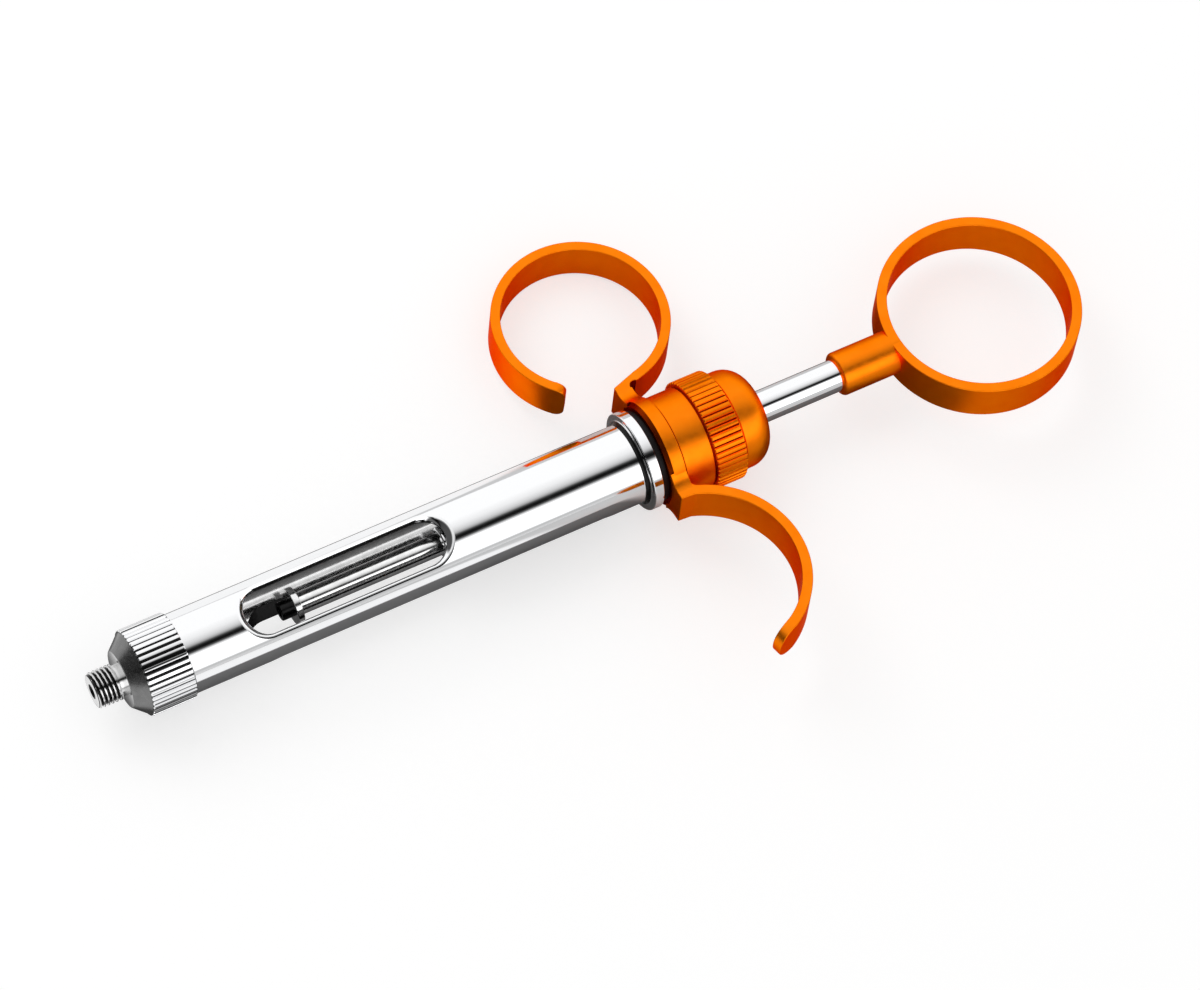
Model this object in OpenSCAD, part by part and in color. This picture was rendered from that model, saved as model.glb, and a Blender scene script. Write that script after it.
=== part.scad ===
// Dental aspirating syringe for a side-loaded glass cartridge: a windowed steel
// barrel with a screwed needle adaptor in front, and a finger grip, a knurled
// guide cap and a ringed piston behind.
// The X axis is the barrel axis and +X points to the thumb ring. The origin is
// the middle of the needle thread. The syringe lies on its side on a flat
// surface, so the plane of its rings leans a little out of level.

/* [Needle adaptor] */
// Outer diameter of the needle thread
thread_d = 5.4; // [4.6:0.1:6]
// Length of the needle thread
thread_len = 3.6; // [2.6:0.1:4.5]
// Width of the smooth neck behind the thread
neck_len = 0.8; // [0.5:0.1:1.5]
// How much smaller than the thread the smooth neck is, on the diameter
neck_drop = 0.6; // [0.3:0.1:1]
// Chamfer on the free end of the thread
thread_chamfer = 0.4; // [0.2:0.1:0.6]
// Diameter of the hole for the needle
needle_hole_d = 1.4; // [0.8:0.1:2]
// Diameter of the flat ring that the needle hub seats on
seat_ring_d = 8.6; // [7.8:0.1:9.6]
// Length of the dark cone
cone_len = 2.1; // [1.5:0.1:4]
// How far inside the knurl the cone ends
cone_drop = 0.3; // [0.2:0.05:0.8]
// How far the knurl stands proud of the barrel
front_knurl_proud = 0.5; // [0.3:0.05:1.5]
// Length of the knurl
front_knurl_len = 6.8; // [5:0.1:10]
// Number of flutes round the knurl
front_flutes = 44; // [36:1:50]
// Diameter of the cutter that makes one flute
front_flute_d = 0.46; // [0.36:0.02:0.56]
// Chamfer at both ends of the knurl
front_knurl_chamfer = 0.35; // [0.2:0.05:0.5]
// Length of the threaded spigot inside the barrel
spigot_len = 5; // [4:0.5:7]
// Wall of the barrel round the threaded spigot
socket_wall = 0.7; // [0.6:0.05:0.9]
// Wall of the cup that takes the cartridge cap
cup_wall = 1.3; // [1.1:0.05:1.5]
// Depth of the cup for the cartridge cap
cap_cup_depth = 3.4; // [2:0.1:5]

/* [Barrel] */
// Wall of the barrel
barrel_wall = 1.3; // [1.1:0.05:1.5]
// Diameter of the bore that takes the cartridge
bore_d = 9.4; // [9:0.1:9.8]
// Visible length of the barrel from the adaptor to its flange
barrel_len = 72.2; // [68:0.2:84]
// How far the flange stands proud of the barrel
flange_proud = 1.5; // [1.2:0.1:2]
// Thickness of the flange
flange_len = 1.6; // [1.2:0.1:2.4]
// Radius of the hollow in front of the flange
flange_fillet = 0.9; // [0.5:0.1:1.1]
// Width of the viewing window
view_w = 6.7; // [5:0.1:7.6]
// Length of the viewing window
view_len = 31.4; // [24:0.2:40]
// Distance from the adaptor to the viewing window
view_start = 9.8; // [8.6:0.1:14]
// Angle of the viewing window from the ring plane's normal
view_angle = 14; // [0:1:30]
// Depth of the hollowed window ends below the barrel's top
view_dish_depth = 1.05; // [0.4:0.05:1.3]
// How much narrower than the bore the loading window is, on each side
load_lip = 0.2; // [0.1:0.05:0.3]
// Length of the loading window
load_len = 59; // [50:0.5:60]
// Distance from the adaptor to the loading window
load_start = 9.8; // [7:0.1:10.4]
// Angle from the viewing window round to the loading window
load_turn = 141; // [140:1:180]
// Length of the threaded tail behind the flange
tail_len = 11.4; // [10:0.1:12]

/* [Finger grip] */
// Thickness of the dark washer in front of the grip
washer_len = 1; // [0.6:0.1:1.6]
// How far the dark washer stands proud of the barrel
washer_proud = 1; // [0.6:0.1:1.2]
// How far the round grip plate stands proud of the barrel
plate_proud = 2.2; // [1.9:0.1:2.5]
// Thickness of the round grip plate
plate_len = 2.5; // [2:0.1:3.5]
// Chamfer on the front edge of the round grip plate
plate_bevel = 0.6; // [0.3:0.1:0.9]
// Radius of the hollow corners between the round plate and the bands' flats
root_blend = 3.5; // [2:0.5:4]
// Wall of the smooth sleeve, with its clearance
sleeve_wall = 1.7; // [1.3:0.1:1.8]
// Length of the smooth sleeve
sleeve_len = 4.9; // [4:0.1:5.4]
// Depth of every ring band across its edge
band_depth = 6.5; // [5:0.1:7]
// Outer radius of the closed finger ring
ring_r = 13.2; // [12:0.1:15]
// Band thickness of the closed finger ring
ring_band = 1.46; // [1.2:0.02:2]
// Distance from the plate's rim to the closed ring's band
ring_clear = 1.84; // [1.6:0.02:2.4]
// How far behind the plate's front face the closed ring is centred
ring_back = 1.33; // [0.6:0.01:2]
// Angle at which the closed ring's free tip ends
ring_tip_a = 232.5; // [215:0.5:240]
// Corner radius of the closed ring's free tip
ring_tip_r = 1.5; // [1:0.1:2.4]
// Outer radius of the open finger hook
hook_r = 14.53; // [13:0.01:16]
// Band thickness of the open finger hook
hook_band = 1.53; // [1.2:0.01:2]
// How far inside the plate's rim the hook's band starts
hook_sink = 0.13; // [0.1:0.01:0.3]
// How far ahead of the plate's front face the hook is centred
hook_ahead = 1.95; // [1:0.01:3]
// Angle at which the hook's free tip ends
hook_tip_a = -75; // [-88:1:-50]
// Corner radius of the hook's free tip
hook_tip_r = 3; // [1:0.1:3.2]
// Radius of the notch in the corner behind the closed ring's root
notch_r = 0.8; // [0.4:0.1:0.9]
// Radius of the inner corner at the hook's root
root_fillet = 1.2; // [0.6:0.1:1.6]

/* [Guide cap] */
// How far the cap's knurl stands proud of the sleeve
cap_knurl_proud = 0.7; // [0.5:0.1:1.2]
// Length of the cap's knurl
cap_knurl_len = 4.8; // [4.4:0.1:7]
// Number of flutes round the cap
cap_flutes = 54; // [44:1:60]
// Diameter of the cutter that makes one flute of the cap
cap_flute_d = 0.4; // [0.3:0.02:0.5]
// Chamfer at both ends of the cap's knurl
cap_knurl_chamfer = 0.3; // [0.2:0.05:0.5]
// Width of the groove behind the cap's knurl
cap_groove_len = 0.4; // [0.3:0.1:0.8]
// Depth of that groove below the dome
cap_groove_depth = 0.25; // [0.15:0.05:0.5]
// How much smaller than the sleeve the domed end is, on each side
dome_step = 0.2; // [0.1:0.05:0.3]
// Length of the domed end with its groove
dome_len = 5.6; // [5:0.1:9]
// Radius of the dome's shoulder
dome_r = 3.7; // [2.5:0.1:4]
// Thickness of the guide bush's flange
bush_flange_len = 1; // [0.8:0.1:1.2]
// How far inside the tail's edge the bush's flange ends
bush_flange_step = 0.4; // [0.2:0.1:0.7]
// Length of the guide bush inside the barrel
bush_len = 8; // [6:0.5:10]
// Cord diameter of the rod seal
seal_cord_d = 1.8; // [1.6:0.1:2]

/* [Piston] */
// Diameter of the piston rod
rod_d = 4.89; // [4.6:0.01:5.2]
// Diameter of the thin front length of the rod
rod_neck_d = 3.3; // [2.6:0.1:4]
// Length of the thin front length of the rod
rod_neck_len = 22.6; // [16:0.1:30]
// Distance from the adaptor to the front of the piston disc
disc_start = 17.6; // [15:0.1:19]
// Diameter of the piston disc
disc_d = 5.5; // [5.3:0.1:7]
// Thickness of the piston disc
disc_len = 1; // [0.8:0.1:1.6]
// Diameter of the stub in front of the disc
stub_d = 2.8; // [2.4:0.1:3.4]
// Length of the stub in front of the disc
stub_len = 1.8; // [1:0.1:2.4]
// Diameter of the blind hole in the stub
stub_hole_d = 1.6; // [1:0.1:1.8]
// Length of the screwed pin that joins disc and rod
pin_len = 4; // [3:0.5:6]
// Diameter of the screwed pin that joins disc and rod
pin_d = 1.8; // [1.4:0.1:2]
// Free length of the rod between the cap and the thumb ring's boss
rod_out = 13.6; // [10:0.1:20]
// Diameter of the thumb ring's boss
boss_d = 6.64; // [6.6:0.02:7.6]
// Distance from the front of the boss to the middle of the thumb ring
boss_reach = 24; // [22:0.1:28]
// Rounding of the front of the boss
boss_round = 0.6; // [0.3:0.1:0.9]
// Outer radius of the thumb ring
thumb_r = 15.19; // [14:0.01:17]
// Band thickness of the thumb ring
thumb_band = 1.54; // [1.3:0.01:2]
// Length of the rod's threaded end in the boss
stud_len = 6; // [4:0.5:7]
// Diameter of the rod's threaded end
stud_d = 3.8; // [3.4:0.1:4]

/* [Fits] */
// Radial clearance of screwed and pushed pieces
seat_gap = 0.05; // [0.03:0.01:0.08]
// Radial clearance of the rod in the guide bush
bush_gap = 0.05; // [0.03:0.01:0.08]
// Radial clearance of the rod in the cap's hole
cap_gap = 0.09; // [0.06:0.01:0.1]
// Radial clearance of the rod in its seal
seal_gap = 0.03; // [0.02:0.01:0.05]

/* [Hidden] */
$fn = 96;
eps = 0.01;

// Diameters that follow from the bore
barrel_d = bore_d + 2 * barrel_wall;
front_knurl_d = barrel_d + 2 * front_knurl_proud;
cone_base_d = front_knurl_d - 2 * cone_drop;
spigot_d = barrel_d - 2 * (socket_wall + seat_gap);
cap_cup_d = spigot_d - 2 * cup_wall;
flange_d = barrel_d + 2 * flange_proud;
view_dish_z = barrel_d / 2 - view_dish_depth;
load_w = bore_d - 2 * load_lip;
washer_d = barrel_d + 2 * washer_proud;
plate_d = barrel_d + 2 * plate_proud;
sleeve_d = barrel_d + 2 * sleeve_wall;
cap_knurl_d = sleeve_d + 2 * cap_knurl_proud;
dome_d = sleeve_d - 2 * dome_step;
cap_groove_d = dome_d - 2 * cap_groove_depth;
bush_flange_d = barrel_d - 2 * bush_flange_step;

// Distances from the barrel axis to the two bands
ring_off = plate_d / 2 + ring_clear;
hook_off = plate_d / 2 - hook_sink;

// Places along the axis, from the needle to the thumb ring
thread_x = -thread_len / 2;
neck_x = thread_len / 2;
seat_x = neck_x + neck_len;
front_knurl_x = seat_x + cone_len;
barrel_x = front_knurl_x + front_knurl_len;
flange_x = barrel_x + barrel_len;
washer_x = flange_x + flange_len;
plate_x = washer_x + washer_len;
sleeve_x = plate_x + plate_len;
cap_x = sleeve_x + sleeve_len;
dome_x = cap_x + cap_knurl_len;
cap_end_x = dome_x + dome_len;
tail_x = washer_x + tail_len;
seal_x = tail_x + bush_flange_len;
boss_x = cap_end_x + rod_out;
thumb_x = boss_x + boss_reach;
disc_x = barrel_x + disc_start;
rod_x = disc_x + disc_len;

// The seal's pocket in the cap, and the seal's own ring
seal_pocket_len = seal_cord_d + 0.1;
seal_mid_r = rod_d / 2 + seal_gap + seal_cord_d / 2;
seal_pocket_r = seal_mid_r + seal_cord_d / 2 + seal_gap;

// Ring centres across the barrel
ring_x = plate_x + ring_back;
ring_y = ring_off + ring_r;
hook_x = plate_x - hook_ahead;
hook_y = -hook_off - hook_r;
// Angles at which the two bands leave the plate, and how far the hook's root
// reaches under its band
ring_root_a = -72.5;
hook_root_a = 78;
hook_root_lap = 10;
// Points where the plate's front edge ends in a spur
ring_spur_y = ring_off + 0.45;
hook_spur_y = -hook_off - hook_band - 0.5;

// The syringe lies on the cap's knurl and on the closed ring: the angle at which
// the lower edge of that ring is as low as the knurl.
touch_y = ring_y + ring_r;
touch_reach = sqrt(touch_y * touch_y + band_depth * band_depth / 4);
rest_roll = atan(band_depth / 2 / touch_y) - asin(cap_knurl_d / 2 / touch_reach);
// One flute of each knurl lies lowest, so that the two crests beside it bear
flute_phase = -rest_roll;

steel = [0.82, 0.83, 0.85];
dark_steel = [0.42, 0.43, 0.45];
orange = [0.95, 0.42, 0.02];
black = [0.09, 0.08, 0.08];
bronze = [0.72, 0.53, 0.28];

// Points on an arc round a centre
function arc(c, r, a0, a1, n) = [for (i = [0:n])
    let (a = a0 + (a1 - a0) * i / n) [c[0] + r * cos(a), c[1] + r * sin(a)]];

// A turned solid: the child profile is drawn as [radius, place along X]
module turned() {
    rotate([0, 90, 0]) rotate_extrude() children();
}

// A plain cylinder along X
module bar(x, len, d) {
    translate([x, 0, 0]) rotate([0, 90, 0]) cylinder(d = d, h = len);
}

// Everything lies at its rest angle about the barrel axis
module at_rest() {
    rotate([rest_roll, 0, 0]) children();
}

// Straight flutes round a knurl
module flutes(x, len, d, count, cutter_d) {
    for (i = [0:count - 1]) {
        rotate([flute_phase + 360 * i / count, 0, 0])
            translate([x - 1, 0, -d / 2])
                rotate([0, 90, 0]) cylinder(d = cutter_d, h = len + 2, $fn = 16);
    }
}

module needle_adaptor() {
    thread_r = thread_d / 2;
    neck_r = thread_r - neck_drop / 2;
    knurl_r = front_knurl_d / 2;
    c = front_knurl_chamfer;
    color(dark_steel) at_rest() difference() {
        turned() polygon([
            [0, thread_x], [thread_r - thread_chamfer, thread_x],
            [thread_r, thread_x + thread_chamfer], [thread_r, neck_x], [neck_r, neck_x],
            [neck_r, seat_x], [seat_ring_d / 2 - 0.15, seat_x], [seat_ring_d / 2, seat_x + 0.15],
            [cone_base_d / 2, front_knurl_x],
            [knurl_r - c, front_knurl_x], [knurl_r, front_knurl_x + c],
            [knurl_r, barrel_x - c], [knurl_r - c, barrel_x], [spigot_d / 2, barrel_x],
            [spigot_d / 2, barrel_x + spigot_len], [0, barrel_x + spigot_len]]);
        flutes(front_knurl_x, front_knurl_len, front_knurl_d, front_flutes, front_flute_d);
        bar(thread_x - 1, barrel_x + spigot_len + 2 - thread_x, needle_hole_d);
        bar(barrel_x + spigot_len - cap_cup_depth, cap_cup_depth + 1, cap_cup_d);
    }
}

// A round-ended slot through one wall of the barrel
module slot(start, len, w, angle) {
    rotate([angle, 0, 0]) translate([barrel_x + start + w / 2, 0, 0])
        linear_extrude(barrel_d) union() {
            circle(d = w);
            translate([0, -w / 2]) square([len - w, w]);
            translate([len - w, 0]) circle(d = w);
        }
}

// The hollowed ends of the viewing window
module window_dishes() {
    rise = barrel_d / 2 + 0.4 - view_dish_z;
    for (x = [view_w / 2, view_len - view_w / 2]) {
        rotate([view_angle, 0, 0]) translate([barrel_x + view_start + x, 0, view_dish_z])
            cylinder(r1 = view_w / 2, r2 = view_w / 2 + rise, h = rise);
    }
}

module barrel() {
    r = barrel_d / 2;
    hollow = flange_fillet;
    edge = 0.25;
    socket_d = spigot_d + 2 * seat_gap;
    color(steel) at_rest() difference() {
        turned() polygon(concat(
            [[bore_d / 2, barrel_x], [r - 0.1, barrel_x], [r, barrel_x + 0.1]],
            arc([r + hollow, flange_x - hollow], hollow, 180, 90, 6),
            [[flange_d / 2 - edge, flange_x], [flange_d / 2, flange_x + edge],
            [flange_d / 2, washer_x - edge], [flange_d / 2 - edge, washer_x],
            [r, washer_x], [r, tail_x], [bore_d / 2, tail_x]]));
        bar(barrel_x - 1, spigot_len + 1, socket_d);
        slot(view_start, view_len, view_w, view_angle);
        window_dishes();
        slot(load_start, load_len, load_w, view_angle + load_turn);
    }
}

module grip_washer() {
    color(black) at_rest() difference() {
        bar(washer_x, washer_len, washer_d);
        bar(washer_x - 1, washer_len + 2, barrel_d + 2 * seat_gap);
    }
}

// The hook's flat band, without the part between two angles
module band_outline(r, thick, gap_from, gap_to) {
    n = 8;
    difference() {
        circle(r);
        circle(r - thick);
        polygon(concat([[0, 0]], arc([0, 0], 2 * r, gap_from, gap_to, n)));
    }
}

// Cuts the two corners off a band's free tip, which points along +Y here
module tip_corners(r, thick, corner) {
    n = 8;
    w = thick + 2;
    out = 0.02;
    half = band_depth / 2 + out;
    for (side = [-1, 1]) {
        translate([r - thick - 1, 0, 0]) rotate([90, 0, 90]) linear_extrude(w)
            polygon(concat([[1, side * (half + 1)], [-corner - 1, side * (half + 1)],
                [-corner - 1, side * (half + 0.05)]],
                [for (p = arc([out - corner, half - corner], corner, 90, 0, n))
                    [p[0], side * p[1]]],
                [[1, side * (half - corner - 0.05)]]));
    }
}

// The closed finger ring, open only between its tip and its root
module closed_ring() {
    inner_r = ring_r - ring_band;
    // The spur's upper edge runs on into the hole of the ring
    spur = [-ring_back, ring_spur_y - ring_y];
    spur_r = inner_r - 0.07;
    spur_end = [spur_r * cos(ring_root_a), spur_r * sin(ring_root_a)];
    difference() {
        linear_extrude(band_depth, center = true) union() {
            translate([ring_x, ring_y]) difference() {
                circle(ring_r);
                circle(inner_r);
                polygon([[0, 0], [2 * ring_r * cos(ring_tip_a), 2 * ring_r * sin(ring_tip_a)],
                    [spur[0], -2 * ring_r], spur, spur_end]);
            }
            translate([plate_x, 0]) square([plate_len, ring_off + 0.2]);
        }
        translate([ring_x, ring_y, 0]) rotate([0, 0, ring_tip_a])
            tip_corners(ring_r, ring_band, ring_tip_r);
        translate([sleeve_x + 0.75 * notch_r, ring_off - notch_r / 2, -band_depth])
            cylinder(r = notch_r, h = 2 * band_depth, $fn = 32);
    }
}

// The open finger hook
module open_hook() {
    // The root's block and the rounding both reach a little way into the band
    inner_r = hook_r - hook_band + 0.28;
    in_a = hook_root_a - hook_root_lap;
    dip = 0.03;
    // The rounded inner corner between the plate and the hook
    corner_x = sleeve_x + root_fillet - dip;
    corner_y = hook_y + sqrt(pow(hook_r + root_fillet - dip, 2) - pow(corner_x - hook_x, 2));
    corner_a = atan2(hook_y - corner_y, hook_x - corner_x);
    difference() {
        linear_extrude(band_depth, center = true) union() {
            translate([hook_x, hook_y])
                band_outline(hook_r, hook_band, hook_root_a, 360 + hook_tip_a);
            polygon([[plate_x, -hook_off + 1], [plate_x, hook_spur_y],
                [hook_x + inner_r * cos(in_a), hook_y + inner_r * sin(in_a)],
                [sleeve_x, -hook_off - 1], [sleeve_x, -hook_off + 1]]);
            translate([plate_x, -hook_off - 0.6]) square([plate_len, hook_off]);
            polygon(concat([[sleeve_x - 0.5, corner_y]],
                arc([corner_x, corner_y], root_fillet, 180, 360 + corner_a, 6),
                [[hook_x + (hook_r - 0.5) * cos(corner_a + 180),
                    hook_y + (hook_r - 0.5) * sin(corner_a + 180)],
                [sleeve_x - 0.5, corner_y - 2]]));
        }
        translate([hook_x, hook_y, 0]) rotate([0, 0, hook_tip_a]) mirror([0, 1, 0])
            tip_corners(hook_r, hook_band, hook_tip_r);
    }
}

// The hollow corners between the round plate and the flats of both bands
module root_blends() {
    dip = 0.03;
    mid_z = band_depth / 2 + root_blend - dip;
    reach = plate_d / 2 + root_blend - dip;
    mid_y = sqrt(reach * reach - mid_z * mid_z);
    corner = concat(arc([mid_y, mid_z], root_blend, 270, 180 + atan2(mid_z, mid_y), 8),
        [[6.4, band_depth / 2 - 0.3], [mid_y, band_depth / 2 - 0.3]]);
    for (y = [-1, 1], z = [-1, 1]) {
        translate([plate_x, 0, 0]) rotate([90, 0, 90]) linear_extrude(plate_len)
            polygon([for (p = corner) [y * p[0], z * p[1]]]);
    }
}

module finger_grip() {
    color(orange) at_rest() difference() {
        union() {
            turned() polygon([
                [0, plate_x], [plate_d / 2 - plate_bevel, plate_x],
                [plate_d / 2, plate_x + plate_bevel],
                [plate_d / 2, sleeve_x], [sleeve_d / 2, sleeve_x],
                [sleeve_d / 2, cap_x], [0, cap_x]]);
            closed_ring();
            open_hook();
            root_blends();
        }
        bar(plate_x - 1, plate_len + sleeve_len + 2, barrel_d + 2 * seat_gap);
    }
}

// Half section of the cap's domed end, drawn as [radius, place along X]
module dome_profile() {
    r = dome_d / 2;
    square([r - dome_r, dome_len]);
    square([r, dome_len - dome_r]);
    translate([r - dome_r, dome_len - dome_r]) circle(dome_r);
}

module knurled_cap() {
    knurl_r = cap_knurl_d / 2;
    c = cap_knurl_chamfer;
    hole_d = rod_d + 2 * cap_gap;
    color(orange) at_rest() difference() {
        union() {
            turned() polygon([
                [0, cap_x], [knurl_r - c, cap_x], [knurl_r, cap_x + c], [knurl_r, dome_x - c],
                [knurl_r - c, dome_x], [cap_groove_d / 2, dome_x],
                [cap_groove_d / 2, dome_x + cap_groove_len + eps],
                [0, dome_x + cap_groove_len + eps]]);
            turned() intersection() {
                translate([0, dome_x]) dome_profile();
                translate([0, dome_x + cap_groove_len]) square([dome_d, dome_len]);
            }
        }
        flutes(cap_x, cap_knurl_len, cap_knurl_d, cap_flutes, cap_flute_d);
        bar(cap_x - 1, seal_x - cap_x + 1, barrel_d + 2 * seat_gap);
        bar(seal_x - 1, seal_pocket_len + 1, 2 * seal_pocket_r);
        bar(seal_x, cap_end_x - seal_x + 1, hole_d);
        translate([cap_end_x - 0.3, 0, 0]) rotate([0, 90, 0])
            cylinder(d1 = hole_d, d2 = hole_d + 0.8, h = 0.4);
    }
}

module guide_bush() {
    color(bronze) at_rest() difference() {
        union() {
            bar(tail_x - bush_len, bush_len + eps, bore_d - 2 * seat_gap);
            bar(tail_x, bush_flange_len, bush_flange_d);
        }
        bar(tail_x - bush_len - 1, bush_len + bush_flange_len + 2, rod_d + 2 * bush_gap);
    }
}

module rod_seal() {
    color(black) at_rest() translate([seal_x + seal_pocket_len / 2, 0, 0]) rotate([0, 90, 0])
        rotate_extrude() translate([seal_mid_r, 0]) circle(d = seal_cord_d, $fn = 32);
}

module piston_rod() {
    r = rod_d / 2;
    shoulder_x = rod_x + rod_neck_len;
    color(steel) at_rest() difference() {
        turned() polygon([
            [0, rod_x], [rod_neck_d / 2, rod_x], [rod_neck_d / 2, shoulder_x],
            [r - 0.3, shoulder_x], [r, shoulder_x + 0.3], [r, boss_x], [stud_d / 2, boss_x],
            [stud_d / 2, boss_x + stud_len], [0, boss_x + stud_len]]);
        bar(rod_x - 1, pin_len + 1 + seat_gap, pin_d + 2 * seat_gap);
    }
}

module piston_disc() {
    edge = 0.15;
    color(steel) at_rest() difference() {
        turned() polygon([
            [0, disc_x - stub_len], [stub_d / 2 - edge, disc_x - stub_len],
            [stub_d / 2, disc_x - stub_len + edge], [stub_d / 2, disc_x],
            [disc_d / 2 - edge, disc_x], [disc_d / 2, disc_x + edge],
            [disc_d / 2, rod_x - edge], [disc_d / 2 - edge, rod_x], [pin_d / 2, rod_x],
            [pin_d / 2, rod_x + pin_len], [0, rod_x + pin_len]]);
        bar(disc_x - stub_len - 1, stub_len + 0.6, stub_hole_d);
    }
}

module thumb_ring() {
    r = boss_d / 2;
    boss_end_x = thumb_x - thumb_r + thumb_band - 0.15;
    color(orange) at_rest() difference() {
        union() {
            translate([thumb_x, 0, 0]) difference() {
                cylinder(r = thumb_r, h = band_depth, center = true);
                cylinder(r = thumb_r - thumb_band, h = band_depth + 2, center = true);
            }
            turned() polygon(concat([[0, boss_x]],
                arc([r - boss_round, boss_x + boss_round], boss_round, -90, 0, 6),
                [[r, boss_end_x], [0, boss_end_x]]));
        }
        bar(boss_x - 1, stud_len + 1 + seat_gap, stud_d + 2 * seat_gap);
    }
}

needle_adaptor();
barrel();
grip_washer();
finger_grip();
knurled_cap();
guide_bush();
rod_seal();
piston_rod();
piston_disc();
thumb_ring();
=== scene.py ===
from math import acos, asin, atan, atan2, cos, degrees, hypot, pi, radians, sin, sqrt, tan

import bmesh
import bpy
from mathutils import Matrix, Vector


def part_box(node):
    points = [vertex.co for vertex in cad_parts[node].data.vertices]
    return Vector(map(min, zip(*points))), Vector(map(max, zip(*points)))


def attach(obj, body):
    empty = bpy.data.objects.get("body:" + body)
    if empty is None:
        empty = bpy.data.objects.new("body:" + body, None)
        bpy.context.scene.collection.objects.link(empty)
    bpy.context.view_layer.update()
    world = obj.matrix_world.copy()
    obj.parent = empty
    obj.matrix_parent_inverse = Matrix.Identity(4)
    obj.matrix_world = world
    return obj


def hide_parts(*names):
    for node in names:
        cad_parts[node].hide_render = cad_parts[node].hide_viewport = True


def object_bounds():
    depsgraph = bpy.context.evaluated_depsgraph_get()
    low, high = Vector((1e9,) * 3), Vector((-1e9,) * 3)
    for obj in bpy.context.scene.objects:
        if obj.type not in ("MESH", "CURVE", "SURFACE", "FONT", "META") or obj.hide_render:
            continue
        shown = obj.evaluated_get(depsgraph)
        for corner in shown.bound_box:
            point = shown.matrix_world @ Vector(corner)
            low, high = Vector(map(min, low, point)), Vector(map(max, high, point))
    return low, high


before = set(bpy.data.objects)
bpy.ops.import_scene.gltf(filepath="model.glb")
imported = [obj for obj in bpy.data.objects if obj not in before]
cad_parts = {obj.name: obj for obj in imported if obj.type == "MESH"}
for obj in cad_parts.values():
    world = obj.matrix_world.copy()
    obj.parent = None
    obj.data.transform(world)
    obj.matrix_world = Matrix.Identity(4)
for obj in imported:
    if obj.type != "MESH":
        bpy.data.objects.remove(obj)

MM = 0.001
AXIS = (1, 0, 0)
UP = (0, 0, 1)
cad_low, cad_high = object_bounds()


def span(node):
    """Where a CAD node starts and ends along the barrel axis."""
    low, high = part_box(node)
    return low.x / MM, high.x / MM


# Stations along the axis, read from the frame
thread_start, adaptor_end = span("needle_adaptor")
barrel_start, tail_end = span("barrel")
washer_start, washer_end = span("grip_washer")
cap_start, cap_end = span("knurled_cap")
bush_end = span("guide_bush")[1]
disc_tip, pin_end = span("piston_disc")
rod_start, rod_end = span("piston_rod")
boss_start, thumb_end = span("thumb_ring")

# Small measures that all pieces share
merge_dist = 1e-5         # points closer than this are one while a mesh is made
final_merge = 1e-4        # and this holds for the finished mesh
fine = 0.001              # a point this close to a line or a cylinder is on it
hair = 0.01               # sets a face at a station apart from the next one
edge_round = 0.15
edge_break = 0.14
smooth_angle = 32
crisp_angle = 35

# How finely round forms are divided
barrel_steps = 288
grip_steps = 192
small_steps = 128
thumb_steps = 180
slot_steps = 32
ring_steps = 120
hook_steps = 60
notch_steps = 14
fillet_steps = 10
blend_steps = 16

# Needle adaptor
thread_r = 2.7
thread_pitch = 0.64
thread_depth = 0.36
thread_end = -thread_start
thread_rows = 72
thread_crest = 1.6        # how wide the crest is, and how steep the flanks are
thread_flank = 4.2
thread_fade = 0.5         # share of the pitch over which the thread runs out
thread_chamfer = 0.3
neck_r = 2.4
neck_step = 0.02
seat_x = 2.6
seat_r = 4.3
seat_round = 0.12
cone_end = 4.7
cone_r = 6.2
needle_hole_r = 0.7
needle_mouth_r = 1.15
needle_mouth_depth = 0.5
front_knurl_r = 6.5
front_flutes = 44
front_groove = 0.3
front_chamfer = 0.16
spigot_r = 5.25
cup_r = 3.95
cup_depth = 3.4

# Knurls: points round one flute, how far a crest's middle stands above its
# sides, and the half width of a groove as a share of the distance between flutes
flute_points = 12
crest_round = 0.05
front_groove_width = 0.25
cap_groove_width = 0.18

# Share of its depth below which a groove gets painted shade
thread_shade_share = 0.55
front_shade_share = 0.6
cap_shade_share = 0.78

# Barrel
barrel_r = 6.0
barrel_round = 0.1
bore_r = 4.7
flange_r = 7.5
flange_len = 1.6
flange_x = washer_start - flange_len
flange_hollow = 0.9
flange_round = 0.2
socket_r = spigot_r + 0.05
socket_end = barrel_start + 5.0
view_width = 6.7
view_len = 31.4
view_start = barrel_start + 9.8
view_angle = 14.0
load_width = 9.0
load_len = 59.0
load_start = barrel_start + 9.8
load_angle = view_angle + 141.0
cutter_top = 9.0
barrel_smooth_angle = 19
round_facing = 0.96       # how squarely a face of a cylinder faces outwards, at least

# Lip of the viewing window, from the barrel's outside inwards: the slope of
# each step, and its run across the barrel and along it
lip_steps = ((26, 0.16, 0.2), (30, 0.16, 0.16), (46, 0.16, 0.18),
             (54, 0.14, 0.22), (62, 0.11, 0.2), (80, 0.03, 0.14))
lip_spare = (0.24, 0.18, 0.1)   # how far its cutter stands out: across, along, outwards

# Washer
washer_r = 7.0
washer_round = 0.1

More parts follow.
